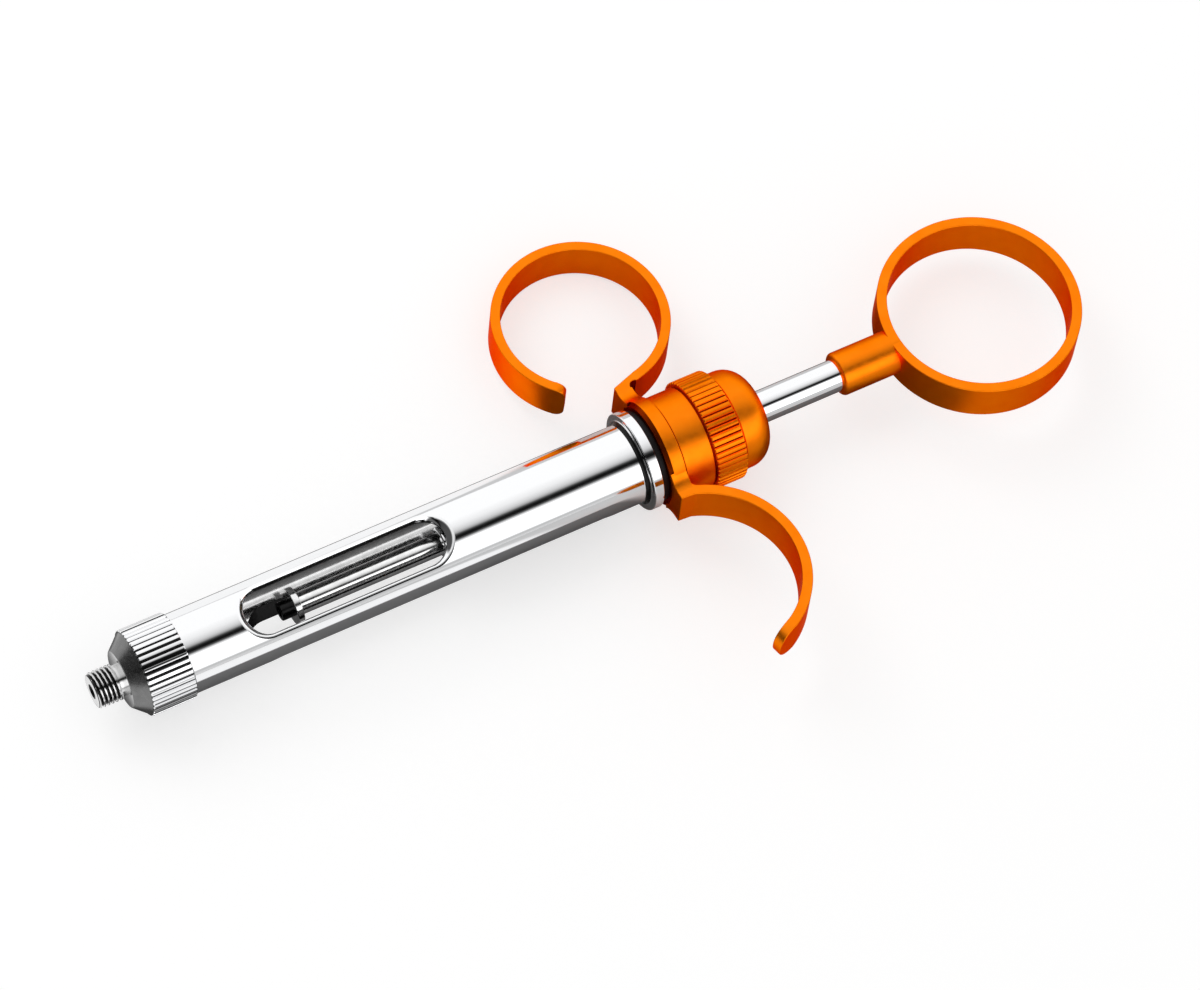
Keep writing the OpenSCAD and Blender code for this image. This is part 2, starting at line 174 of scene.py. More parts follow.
# Finger grip
plate_x = washer_end
sleeve_x = plate_x + 2.5
plate_r = 8.2
plate_bevel = 0.6
plate_round = 0.08
sleeve_r = 7.7
sleeve_round = 0.06
sleeve_groove = 0.22
seat_bore_r = 6.05
band_depth = 6.5
ring_r = 13.2
ring_band = 1.46
ring_centre = (plate_x + 1.33, 10.04 + ring_r)
ring_tip_angle = 232.5
ring_tip_round = 1.5
ring_root_angle = -77.2
ring_root_depth = 0.45
hook_r = 14.53
hook_band = 1.53
hook_centre = (plate_x - 1.95, -8.07 - hook_r)
hook_tip_angle = -75.0
hook_tip_round = 3.0
hook_root_angle = 72.0
hook_root_depth = 0.5
tip_reach = 1.12          # the straight end of a band, as a share of its tip's rounding
notch_r = 0.8
notch_in = 0.75           # where the notch's middle lies behind the plate, as a share of its radius
root_blend = 3.5
root_fillet = 1.2
root_inside = (6.4, 0.3)  # where a hollow corner's hidden side lies: Y, and below the flat
root_end = plate_r - 1    # where a root ends in the plate, and how far it lies inside it
sunk = 0.03

# Knurled cap
cap_r = 8.4
cap_flutes = 54
cap_groove = 0.26
cap_chamfer = 0.12
cap_knurl_end = cap_start + 4.8
neck_groove_r = 7.25
neck_groove_end = cap_knurl_end + 0.4
dome_r = 7.5
dome_step_round = 0.1
dome_round = 3.7
rod_hole_r = 2.535
rod_hole_chamfer = 0.4
pocket_end = bush_end + 1.9
pocket_r = 4.305

# Piston
rod_r = 2.445
rod_neck_r = 1.65
rod_shoulder = rod_start + 22.6
rod_shoulder_round = 0.5
stud_r = 1.9
disc_r = 2.75
disc_len = 1.0
stub_r = 1.4
stub_hole_r = 0.8
stub_hole_depth = 0.6
stub_hole_round = 0.08
pin_r = 0.9
boss_r = 3.32
boss_round = 0.6
boss_bore_r = stud_r + 0.05
boss_short = 0.15         # how far the boss ends inside the ring's band
thumb_r = 15.19
thumb_band = 1.54
thumb_centre = (thumb_end - thumb_r, 0.0)

# The syringe lies on the cap's knurl and on the closed ring
reach = ring_centre[1] + ring_r
rest_roll = atan(band_depth / 2 / reach) - asin(cap_r / hypot(reach, band_depth / 2))

# Floor, light and camera, in metres here
middle = (0.08, 0, 0)
floor_size = 3.0
floor_level = 0.5         # its own shade, and what it shows of itself on top of that
floor_lift = 0.62
# Painted shade on the floor as metal mirrors it: its levels by the rings and under the syringe
floor_by_rings = 0.8      # its shade as metal mirrors it, by the rings and under the syringe
floor_near = 0.2
studio_strength = 2.2
soft_strength = 0.62
patch_x = (-0.8, -0.64)   # the studio's darker patch, low beyond the needle end, by the
patch_z = (0.45, 0.75)    # direction's X and Z where it is full and where it ends
patch_dark = 0.93
key_place = (-0.25, 0.75, 0.9)
key_size = 0.9
key_energy = 3.4
camera_place = (-0.144673, -0.227976, 0.70135)
camera_turn = (23.1129, -7.6192, -27.3203)
camera_lens = 160.67
camera_film = 36.0

# Where metal mirrors the floor with painted shade, in millimetres: the middle of two stretches
# along the axis and of a strip across it, how far from the middle the shade is full,
# and how far away it ends. By the rings it starts between two places.
painted_shade_stretches = ((43, 41, 45), (117, 10, 14))
painted_shade_strip = (-6.5, 19, 22)
rings_from = (70, 80)

# The studio's light for metal: an angle about the barrel axis, from +Y over the
# top to -Y, and how bright it is there. Two soft lights have a dark gap between them.
studio_bands = (
    (0, 0.5), (62, 0.5), (70, 0.47), (80, 0.43), (89, 0.35), (94, 0.29), (98.5, 0.19),
    (103, 0.035), (107, 0.004), (112.5, 0.002), (117, 0.05), (121, 0.33), (126, 0.65),
    (130, 0.8), (163, 0.8), (171, 0.24), (180, 0.35))


# Drawing an outline in a mesh, corner by corner

def corner(bm, last, x, y, z=0.0):
    """Adds a point, joined to the last one."""
    new = bm.verts.new((x, y, z))
    if last:
        bm.edges.new((last, new))
    return new


def points(geometry):
    """The points among what an operator has made."""
    return [part for part in geometry if isinstance(part, bmesh.types.BMVert)]


def bend(bm, last, centre, sweep, steps, axis=UP):
    """Carries the outline on from its last point, round a centre."""
    made = bmesh.ops.spin(bm, geom=[last], cent=centre, axis=axis, angle=radians(sweep),
                          steps=steps, use_duplicate=False)
    return points(made["geom_last"])[0]


def close(bm, first, last):
    """Joins the last point to the first and fills the outline with one face."""
    bm.edges.new((last, first))
    bmesh.ops.contextual_create(bm, geom=bm.edges[:])
    return bm.faces[:][0]


def on_circle(centre, radius, angle):
    """A point of a circle that lies flat."""
    return (centre[0] + radius * cos(radians(angle)), centre[1] + radius * sin(radians(angle)))


def rows(start, end, count):
    """Evenly spaced places from start to end."""
    return [start + (end - start) * i / count for i in range(count + 1)]


# Making a solid of an outline

def bevel(bm, geometry, offset, segments, affect="EDGES", clamp=False):
    bmesh.ops.bevel(bm, geom=geometry, offset=offset, segments=segments, profile=0.5,
                    affect=affect, material=-1, clamp_overlap=clamp)


def round_corners(bm, rounds, segments=5):
    """Rounds corners of a drawn outline: rounds holds pairs of a point and a radius."""
    for point, radius in rounds:
        bevel(bm, [point], radius, segments, "VERTICES")


def break_edges(bm, edges):
    """Takes the sharpness off edges."""
    bevel(bm, edges, edge_break, 3, clamp=True)


def extrude(bm, face, move):
    """Makes a solid of a face and a copy of it that is moved away."""
    made = bmesh.ops.extrude_face_region(bm, geom=[face])["geom"]
    bmesh.ops.translate(bm, vec=move, verts=points(made))
    bmesh.ops.recalc_face_normals(bm, faces=bm.faces[:])


def turn(bm, steps, centre=(0, 0, 0), axis=AXIS):
    """Turns the drawn outline, which lies in the XZ plane, about an axis."""
    bmesh.ops.delete(bm, geom=bm.faces[:], context="FACES_ONLY")
    on_axis = [edge for edge in bm.edges
               if all(abs(vert.co.z) < merge_dist for vert in edge.verts)]
    bmesh.ops.delete(bm, geom=on_axis, context="EDGES")
    bmesh.ops.spin(bm, geom=bm.verts[:] + bm.edges[:], cent=centre, axis=axis,
                   angle=2 * pi, steps=steps, use_merge=True, use_duplicate=False)
    bmesh.ops.remove_doubles(bm, verts=bm.verts[:], dist=merge_dist)
    bmesh.ops.recalc_face_normals(bm, faces=bm.faces[:])


def turned(outline, steps=160, segments=5):
    """A turned mesh. The outline holds (place, radius) or (place, radius, rounding)."""
    bm = bmesh.new()
    first = last = None
    rounds = []
    for x, r, *rounding in outline:
        last = corner(bm, last, x, 0, r)
        first = first or last
        if rounding:
            rounds.append((last, rounding[0]))
    close(bm, first, last)
    round_corners(bm, rounds, segments)
    turn(bm, steps)
    return bm


def merge_into(bm, other):
    """Adds another mesh to this one."""
    mesh = bpy.data.meshes.new("part")
    other.to_mesh(mesh)
    other.free()
    bm.from_mesh(mesh)
    bpy.data.meshes.remove(mesh)


def rolled(angle=0.0):
    """A turn about the barrel axis by an angle, and on to where the syringe lies."""
    return Matrix.Rotation(radians(angle) + rest_roll, 3, "X")


def at_rest(bm, angle=0.0):
    """Rolls a mesh about the barrel axis to its place on the lying syringe."""
    bmesh.ops.rotate(bm, cent=(0, 0, 0), matrix=rolled(angle), verts=bm.verts[:])


# Making the finished object

def new_object(name, bm):
    """Makes an object of a mesh and puts it in the scene."""
    mesh = bpy.data.meshes.new(name)
    bm.to_mesh(mesh)
    bm.free()
    made = bpy.data.objects.new(name, mesh)
    bpy.context.scene.collection.objects.link(made)
    return made


def smooth(mesh, angle):
    """Shades a mesh smooth, apart from edges that are sharper than an angle."""
    for polygon in mesh.polygons:
        polygon.use_smooth = True
    mesh.set_sharp_from_angle(angle=radians(angle))


def finish(name, bm, body, materials, replaces, even=True):
    """Makes a piece from its mesh: in metres, facing outwards, smooth up to an angle.
    Even shading keeps flat faces beside a rounding flat to the eye."""
    bmesh.ops.scale(bm, vec=(MM, MM, MM), verts=bm.verts[:])
    bmesh.ops.remove_doubles(bm, verts=bm.verts[:], dist=final_merge * MM)
    bmesh.ops.recalc_face_normals(bm, faces=bm.faces[:])
    piece = new_object(name, bm)
    smooth(piece.data, smooth_angle)
    for material in materials:
        piece.data.materials.append(material)
    if even:
        shading = piece.modifiers.new("even_shading", "WEIGHTED_NORMAL")
        shading.keep_sharp = True
        shading.weight = 100
    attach(piece, body)
    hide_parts(replaces)
    return piece


def paint(bm, material, where):
    """Gives a material of the piece to the faces whose place and radius pass a test."""
    for face in bm.faces:
        centre = face.calc_center_median()
        if where(centre.x, hypot(centre.y, centre.z)):
            face.material_index = material


# Node helpers for the finishes, the floor and the light

class Nodes:
    """A node tree under construction. A value is an output or a number."""

    def __init__(self, tree):
        self.tree = tree

    def add(self, kind, **settings):
        node = self.tree.nodes.new(kind)
        for key, value in settings.items():
            setattr(node, key, value)
        return node

    def join(self, output, socket):
        self.tree.links.new(output, socket)

    def put(self, value, socket):
        if isinstance(value, (int, float)):
            socket.default_value = value
        else:
            self.join(value, socket)

    def maths(self, operation, first, second=0.0):
        """The sum, product or the like of two values."""
        node = self.add("ShaderNodeMath", operation=operation)
        self.put(first, node.inputs[0])
        self.put(second, node.inputs[1])
        return node.outputs["Value"]

    def between(self, share, first, second):
        """A value that goes from the first to the second as the share goes from 0 to 1."""
        node = self.add("ShaderNodeMix", data_type="FLOAT")
        self.put(share, node.inputs["Factor"])
        self.put(first, node.inputs["A"])
        self.put(second, node.inputs["B"])
        return node.outputs["Result"]

    def to_range(self, value, low, high, from_low=0.3, from_high=0.7, kind="LINEAR"):
        """A value carried over to a range. Noise lies mostly between 0.3 and 0.7."""
        node = self.add("ShaderNodeMapRange", interpolation_type=kind)
        node.inputs["From Min"].default_value = from_low
        node.inputs["From Max"].default_value = from_high
        node.inputs["To Min"].default_value = low
        node.inputs["To Max"].default_value = high
        self.join(value, node.inputs["Value"])
        return node.outputs["Result"]

    def apart(self, vector):
        """The X, Y and Z of a vector."""
        node = self.add("ShaderNodeSeparateXYZ")
        self.join(vector, node.inputs["Vector"])
        return node.outputs


class Finish(Nodes):
    """A metal, rubber or floor finish under construction."""

    # Sockets of the Mix node that hold colours
    first_colour, second_colour, mixed_colour = 6, 7, 2

    def __init__(self, name, colour, metallic, roughness):
        self.material = bpy.data.materials.new(name)
        self.material.use_nodes = True
        super().__init__(self.material.node_tree)
        self.shader = self.tree.nodes["Principled BSDF"]
        self.shader.inputs["Base Color"].default_value = (*colour, 1)
        self.shader.inputs["Metallic"].default_value = metallic
        self.shader.inputs["Roughness"].default_value = roughness
        self.place = self.add("ShaderNodeTexCoord").outputs["Object"]
        self.normal = None

    def noise(self, size, detail=2.0, stretch=(1, 1, 1)):
        """Noise with features of about this size."""
        scale = self.add("ShaderNodeMapping")
        scale.inputs["Scale"].default_value = [share / (size * MM) for share in stretch]
        self.join(self.place, scale.inputs["Vector"])
        noise = self.add("ShaderNodeTexNoise")
        noise.inputs["Scale"].default_value = 1.0
        noise.inputs["Detail"].default_value = detail
        self.join(scale.outputs["Vector"], noise.inputs["Vector"])
        return noise.outputs["Fac"]

    def lathe_lines(self, size):
        """Noise in rings about the barrel axis, as a turning tool leaves."""
        place = self.apart(self.place)
        across = self.add("ShaderNodeCombineXYZ")
        self.join(place["Y"], across.inputs["Y"])
        self.join(place["Z"], across.inputs["Z"])
        radius = self.add("ShaderNodeVectorMath", operation="LENGTH")
        self.join(across.outputs["Vector"], radius.inputs[0])
        noise = self.add("ShaderNodeTexNoise", noise_dimensions="1D")
        noise.inputs["Scale"].default_value = 1 / (size * MM)
        noise.inputs["Detail"].default_value = 3.0
        self.join(self.maths("ADD", place["X"], radius.outputs["Value"]), noise.inputs["W"])
        return noise.outputs["Fac"]

    def roughness(self, value, low, high):
        self.join(self.to_range(value, low, high), self.shader.inputs["Roughness"])

    def colours(self, value, dark, light):
        """Base colour between two shades."""
        mix = self.add("ShaderNodeMix", data_type="RGBA")
        mix.inputs[self.first_colour].default_value = (*dark, 1)
        mix.inputs[self.second_colour].default_value = (*light, 1)
        self.join(self.to_range(value, 0.0, 1.0), mix.inputs["Factor"])
        self.join(mix.outputs[self.mixed_colour], self.shader.inputs["Base Color"])

    def bump(self, value, height, strength=1.0):
        """Relief of this height, on top of any before it."""
        bump = self.add("ShaderNodeBump")
        bump.inputs["Strength"].default_value = strength
        bump.inputs["Distance"].default_value = height * MM
        self.join(value, bump.inputs["Height"])
        if self.normal:
            self.join(self.normal, bump.inputs["Normal"])
        self.normal = bump.outputs["Normal"]
        self.join(self.normal, self.shader.inputs["Normal"])


def chrome_finish():
    """Bright plating, a little uneven along the tube."""
    look = Finish("bright_chrome", (0.9, 0.905, 0.915), 1.0, 0.05)
    look.roughness(look.noise(1.6, 4.0), 0.035, 0.085)
    look.bump(look.noise(2.6, 1.0, (0.35, 1, 1)), 0.004)
    return look.material


def steel_finish(name, level, rough, lines=0.002):
    """Turned steel: how light it is, how rough, and how high its tool marks stand."""
    look = Finish(name, (level, level, level), 1.0, rough)
    look.roughness(look.noise(0.5, 3.0), rough * 0.8, rough * 1.2)
    look.colours(look.noise(1.2, 3.0), (level * 0.88,) * 3, (level * 1.08,) * 3)
    look.bump(look.lathe_lines(0.12), lines)
    return look.material


def orange_finish(name, dark, light, rough):
    """Anodised aluminium, blasted matt. At a grazing angle it is orange too."""
    look = Finish(name, light, 1.0, rough)
    look.shader.inputs["Specular Tint"].default_value = (1.0, 0.13, 0.0, 1)
    look.roughness(look.noise(0.9, 3.0), rough * 0.9, rough * 1.1)
    look.colours(look.noise(2.5, 2.0), dark, light)
    look.bump(look.noise(0.3, 2.0), 0.0012)
    return look.material


def bronze_finish():
    look = Finish("bearing_bronze", (0.6, 0.4, 0.16), 1.0, 0.35)
    look.roughness(look.noise(0.4, 3.0), 0.3, 0.42)
    look.colours(look.noise(1.5, 2.0), (0.52, 0.34, 0.13), (0.62, 0.42, 0.18))
    look.bump(look.lathe_lines(0.08), 0.003)
    return look.material


def rubber_finish():
    look = Finish("black_rubber", (0.006, 0.005, 0.005), 0.0, 0.45)
    look.roughness(look.noise(0.3, 2.0), 0.38, 0.55)
    look.colours(look.noise(0.8, 2.0), (0.004, 0.003, 0.003), (0.008, 0.006, 0.006))
    look.bump(look.noise(0.12, 2.0), 0.003)
    look.shader.inputs["Specular IOR Level"].default_value = 0.15
    return look.material


chrome = chrome_finish()
plain_steel = steel_finish("plain_steel", 0.66, 0.13, 0.001)
dark_steel = steel_finish("dark_steel", 0.2, 0.24, 0.0012)
satin_bore = steel_finish("satin_bore", 0.95, 0.13, 0.00005)
satin_rod = steel_finish("satin_rod", 0.9, 0.15, 0.00005)
# Near black steel as painted shade: in grooves, the hollow before the flange, the windows' cut
# walls and the disc's stub
painted_shade_steel = steel_finish("painted_shade_steel", 0.02, 0.3)
orange = orange_finish("orange_anodised", (0.97, 0.21, 0.003), (1.0, 0.235, 0.005), 0.37)
# Dark orange as painted shade: in the knurl's grooves, the notch, the sleeve's grooves and the
# plate's front
orange_painted_shade = orange_finish("orange_painted_shade", (0.2, 0.02, 0.0), (0.28, 0.035, 0.0), 0.35)
bronze = bronze_finish()
rubber = rubber_finish()


# Knurls and the thread are cut into turned meshes that have enough points

def on_outside(bm, start, end, outer_r):
    """The points on the outside of a turned mesh between two places."""
    return [vert for vert in bm.verts if start - fine < vert.co.x < end + fine
            and hypot(vert.co.y, vert.co.z) > outer_r - fine]


def round_share(vert, parts):
    """Where a point lies round the axis from its lowest side, counted in equal parts."""
    return atan2(vert.co.y, -vert.co.z) / (2 * pi) * parts


def set_radius(vert, radius):
    """Moves a point straight in or out, to a distance from the barrel axis."""
    share = radius / hypot(vert.co.y, vert.co.z)
    vert.co.y *= share
    vert.co.z *= share


def knurl_rows(start, end, chamfer):
    """Where a knurl needs points along its length."""
    return [start, start + chamfer / 2, start + chamfer, end - chamfer, end - chamfer / 2, end]


def cut_flutes(bm, start, end, outer_r, flutes, depth, width, chamfer):
    """Cuts straight flutes between two places, with chamfered ends."""
    for vert in on_outside(bm, start, end, outer_r):
        flute = round_share(vert, flutes)
        from_groove = abs(flute - round(flute))
        groove = sqrt(max(0.0, 1 - (from_groove / width) ** 2))
        crest = crest_round * (2 * from_groove - 1) ** 2
        to_end = min(vert.co.x - start, end - vert.co.x)
        set_radius(vert, min(outer_r - crest - depth * groove,
                             outer_r - max(0.0, chamfer - to_end)))


def cut_thread(bm):
    """Cuts the needle thread, which starts with a chamfer and fades out at its far end."""
    for vert in on_outside(bm, thread_start, thread_end, thread_r):
        along = vert.co.x - thread_start
        share = (along / thread_pitch - round_share(vert, 1)) % 1.0
        flank = min(1.0, max(0.0, thread_crest - thread_flank * abs(share - 0.5)))
        fade = min(1.0, (thread_end - vert.co.x) / (thread_fade * thread_pitch))
        set_radius(vert, min(thread_r - thread_depth * (1 - flank) * fade,
                             thread_r - max(0.0, thread_chamfer - along)))


# Needle adaptor

def make_adaptor():
    cup_x = adaptor_end - cup_depth
    outline = [(thread_start, needle_mouth_r)]
    outline += [(x, thread_r) for x in rows(thread_start, thread_end, thread_rows)]
    outline += [(thread_end + neck_step, neck_r), (seat_x, neck_r), (seat_x, seat_r, seat_round),
                (cone_end, cone_r)]
    outline += [(x, front_knurl_r) for x in knurl_rows(cone_end, barrel_start, front_chamfer)]
    outline += [(barrel_start, spigot_r), (adaptor_end, spigot_r), (adaptor_end, cup_r),
                (cup_x, cup_r), (cup_x, needle_hole_r),
                (thread_start + needle_mouth_depth, needle_hole_r)]
    bm = turned(outline, front_flutes * flute_points)
    cut_thread(bm)
    cut_flutes(bm, cone_end, barrel_start, front_knurl_r, front_flutes, front_groove,
               front_groove_width, front_chamfer)
    at_rest(bm)
    # Index 3 gives painted shade to the grooves of the knurl and the thread
    bright, plain, groove = 1, 2, 3
    knurl_floor = front_knurl_r - front_shade_share * front_groove
    thread_floor = thread_r - thread_shade_share * thread_depth
    paint(bm, bright, lambda x, r: x > cone_end + hair)
    paint(bm, groove, lambda x, r: cone_end + hair < x < barrel_start - hair and r < knurl_floor)
    paint(bm, plain, lambda x, r: x < seat_x + hair)
    paint(bm, groove, lambda x, r: thread_start + hair < x < thread_end and r < thread_floor)
    finish("needle_adaptor_turned", bm, "barrel",
           [dark_steel, chrome, plain_steel, painted_shade_steel], replaces="needle_adaptor")


# Barrel with its two windows

def slot_outline(bm, left, right, half):
    """Draws a round-ended outline about two centres and gives its edges."""
    before = set(bm.edges)
    first = corner(bm, None, left, half)
    last = bend(bm, first, (left, 0, 0), 180, slot_steps)
    last = corner(bm, last, right, -half)
    last = bend(bm, last, (right, 0, 0), 180, slot_steps)
    bm.edges.new((last, first))
    return [edge for edge in bm.edges if edge not in before]


def load_cutter():
    """Cuts the loading window, from the barrel axis outwards."""
    half = load_width / 2
    bm = bmesh.new()
    outline = slot_outline(bm, load_start + half, load_start + load_len - half, half)
    face = bmesh.ops.contextual_create(bm, geom=outline)["faces"][0]
    extrude(bm, face, (0, 0, cutter_top))
    at_rest(bm, load_angle)
    return bm


def lip_cutter():
    """Cuts the viewing window with its lip: the rings of the cutter lie round the barrel."""
    side = sum(run for slope, run, end_run in lip_steps)
    end = sum(end_run for slope, run, end_run in lip_steps)
    radius = barrel_r
    across, along, outwards = lip_spare
    rings = [(side + across, end + along, cutter_top, False),
             (side + across, end + along, radius + outwards, True), (side, end, radius, True)]
    for slope, run, end_run in lip_steps:
        side -= run
        end -= end_run
        radius -= run * tan(radians(slope))
        rings.append((side, end, radius, True))
    rings.append((0.0, 0.0, 0.0, False))
    bm = bmesh.new()
    loops = []
    for side, end, level, on_barrel in rings:
        half = view_width / 2 + side
        loop = slot_outline(bm, view_start - end + half, view_start + view_len + end - half, half)
        for vert in {vert for edge in loop for vert in edge.verts}:
            vert.co.z = sqrt(level ** 2 - vert.co.y ** 2) if on_barrel else level
        loops.append(loop)
    for upper, lower in zip(loops, loops[1:]):
        bmesh.ops.bridge_loops(bm, edges=upper + lower)
    for loop in (loops[0], loops[-1]):
        bmesh.ops.contextual_create(bm, geom=loop)
    bmesh.ops.recalc_face_normals(bm, faces=bm.faces[:])
    at_rest(bm, view_angle)
    return bm


def cut_away(piece, cutter):
    """Cuts a shape out of a piece and keeps the result as its mesh."""
    bmesh.ops.scale(cutter, vec=(MM, MM, MM), verts=cutter.verts[:])
    tool = new_object("cutter", cutter)
    cut = piece.modifiers.new("cut", "BOOLEAN")
    cut.object = tool
    cut.solver = "EXACT"
    bpy.context.view_layer.update()
    result = bpy.data.meshes.new_from_object(
        piece.evaluated_get(bpy.context.evaluated_depsgraph_get()))
    piece.modifiers.remove(cut)
    spent = (piece.data, tool.data)
    piece.data = result
    bpy.data.objects.remove(tool)
    for mesh in spent:
        bpy.data.meshes.remove(mesh)


def true_round(mesh, radii):
    """Gives the faces of a cut tube the exact roundness of its cylinders."""
    smooth(mesh, barrel_smooth_angle)
    normals = [Vector(normal.vector) for normal in mesh.corner_normals]
    for polygon in mesh.polygons:
        for index in polygon.loop_indices:
            co = mesh.vertices[mesh.loops[index].vertex_index].co
            away = hypot(co.y, co.z)
            outward = Vector((0, co.y / away, co.z / away))
            facing = outward.dot(polygon.normal)
            if (abs(facing) > round_facing
                    and any(abs(away / MM - radius) < hair for radius in radii)):
                normals[index] = outward if facing > 0 else -outward
    mesh.normals_split_custom_set(normals)


def paint_barrel(mesh):
    """Finds the bore, and gives painted shade to the hollow before the flange and to the windows'
    cut edges.
    """
    bore, cut = 1, 2
    hollow_top = flange_r - 0.3
    dark_top = barrel_r + 0.5
    least_wall = 0.15
    upwards = [rolled(angle) @ Vector(UP) for angle in (view_angle, load_angle)]
    for polygon in mesh.polygons:
        corners = [mesh.vertices[index].co for index in polygon.vertices]
        radii = [hypot(co.y, co.z) / MM for co in corners]
        if max(radii) < bore_r + 2 * hair:
            polygon.material_index = bore
        elif (flange_x - flange_hollow < polygon.center.x / MM < flange_x
                and max(radii) < hollow_top):
            if barrel_r + 2 * hair < hypot(*polygon.center.yz) / MM < dark_top:
                polygon.material_index = cut
        elif max(radii) - min(radii) > least_wall and abs(polygon.normal.x) < 0.99:
            if min(abs(polygon.normal.dot(upward)) for upward in upwards) < 0.2:
                polygon.material_index = cut


def make_barrel():
    bm = turned([(barrel_start, socket_r), (barrel_start, barrel_r, barrel_round),
                 (flange_x, barrel_r, flange_hollow), (flange_x, flange_r, flange_round),
                 (washer_start, flange_r, flange_round), (washer_start, barrel_r),
                 (tail_end, barrel_r, flange_round), (tail_end, bore_r),
                 (socket_end, bore_r), (socket_end, socket_r)], barrel_steps, 9)
    barrel = finish("barrel_tube", bm, "barrel", [chrome],
                    replaces="barrel", even=False)
    cut_away(barrel, lip_cutter())
    cut_away(barrel, load_cutter())
    true_round(barrel.data, (bore_r, barrel_r, flange_r))
    barrel.data.materials.append(satin_bore)
    barrel.data.materials.append(painted_shade_steel)
    paint_barrel(barrel.data)


def make_washer():
    bm = turned([(washer_start, seat_bore_r), (washer_start, washer_r, washer_round),
                 (washer_end, washer_r, washer_round), (washer_end, seat_bore_r)],
                small_steps)
    # The washer is real, but its black also stands for the shade in the gap between flange and
    # plate, as painted shade
    finish("grip_washer_turned", bm, "barrel", [rubber],
           replaces="grip_washer")


# Finger grip

def band(bm, outline_face, tip, tip_round):
    """Gives a band's outline its depth, rounds its tip and breaks its edges."""
    extrude(bm, outline_face, (0, 0, band_depth))
    bmesh.ops.translate(bm, vec=(0, 0, -band_depth / 2), verts=bm.verts[:])
    tip_edges = [edge for edge in bm.edges
                 if all(any((vert.co.xy - Vector(point)).length < fine for point in tip)
                        for vert in edge.verts)
                 and abs(edge.verts[0].co.z - edge.verts[1].co.z) < fine]
    bevel(bm, tip_edges, tip_round, 8)
    break_edges(bm, [edge for edge in bm.edges
                     if edge.is_manifold and edge.calc_face_angle(0.0) > radians(crisp_angle)])


def closed_ring_mesh():
    """The closed ring and its root, which ends in a spur in front of the plate."""
    centre = (*ring_centre, 0)
    inner_r = ring_r - ring_band
    bend_from = ring_tip_angle - degrees(ring_tip_round * tip_reach / ring_r)
    notch = (sleeve_x + notch_in * notch_r, ring_centre[1] - ring_r - notch_r / 2)
    away = hypot(notch[0] - ring_centre[0], notch[1] - ring_centre[1])
    notch_angle = -degrees(asin((ring_centre[1] - notch[1]) / away))
    meet = notch_angle + degrees(
        sqrt(2 * (1 - (away ** 2 + ring_r ** 2 - notch_r ** 2) / (2 * away * ring_r))))
    bm = bmesh.new()
    outer_tip = on_circle(ring_centre, ring_r, ring_tip_angle)
    inner_tip = on_circle(ring_centre, inner_r, ring_tip_angle)
    first = corner(bm, None, *outer_tip)
    last = corner(bm, first, *on_circle(ring_centre, ring_r, bend_from))
    last = bend(bm, last, centre, meet - bend_from, ring_steps)
    notch_from = degrees(asin((last.co.y - notch[1]) / notch_r))
    notch_to = 180 + degrees(acos(notch_in))
    last = bend(bm, last, (*notch, 0), notch_to - notch_from, notch_steps)
    last = corner(bm, last, last.co.x, root_end)
    last = corner(bm, last, plate_x + sunk, root_end)
    last = corner(bm, last, plate_x + sunk, ring_centre[1] - ring_r + ring_root_depth)
    last = corner(bm, last, *on_circle(ring_centre, inner_r, ring_root_angle))
    last = bend(bm, last, centre, (bend_from - ring_root_angle) % 360, ring_steps)
    last = corner(bm, last, *inner_tip)
    band(bm, close(bm, first, last), (outer_tip, inner_tip), ring_tip_round)
    # The notch's faces get painted shade
    for face in bm.faces:
        if (face.calc_center_median().xy - Vector(notch)).length < notch_r + hair:
            face.material_index = 1
    return bm


def hook_mesh():
    """The open hook and its root, with the rounded inner corner behind the plate."""
    centre = (*hook_centre, 0)
    inner_r = hook_r - hook_band
    bend_from = hook_tip_angle + degrees(hook_tip_round * tip_reach / hook_r)
    back_x = sleeve_x - sunk
    fillet = (back_x + root_fillet,
              hook_centre[1] + sqrt((hook_r + root_fillet) ** 2
                                    - (back_x + root_fillet - hook_centre[0]) ** 2))
    fillet_angle = degrees(asin((fillet[1] - hook_centre[1]) / (hook_r + root_fillet)))
    bm = bmesh.new()
    outer_tip = on_circle(hook_centre, hook_r, hook_tip_angle)
    inner_tip = on_circle(hook_centre, inner_r, hook_tip_angle)
    first = corner(bm, None, *outer_tip)
    last = corner(bm, first, *on_circle(hook_centre, hook_r, bend_from))
    last = bend(bm, last, centre, fillet_angle - bend_from, hook_steps)
    last = bend(bm, last, (*fillet, 0), -fillet_angle, fillet_steps)
    last = corner(bm, last, back_x, -root_end)
    last = corner(bm, last, plate_x + sunk, -root_end)
    last = corner(bm, last, plate_x + sunk, hook_centre[1] + inner_r - hook_root_depth)
    last = corner(bm, last, *on_circle(hook_centre, inner_r, hook_root_angle))
    last = bend(bm, last, centre, bend_from - hook_root_angle, hook_steps)
    last = corner(bm, last, *inner_tip)
    band(bm, close(bm, first, last), (outer_tip, inner_tip), hook_tip_round)
    return bm


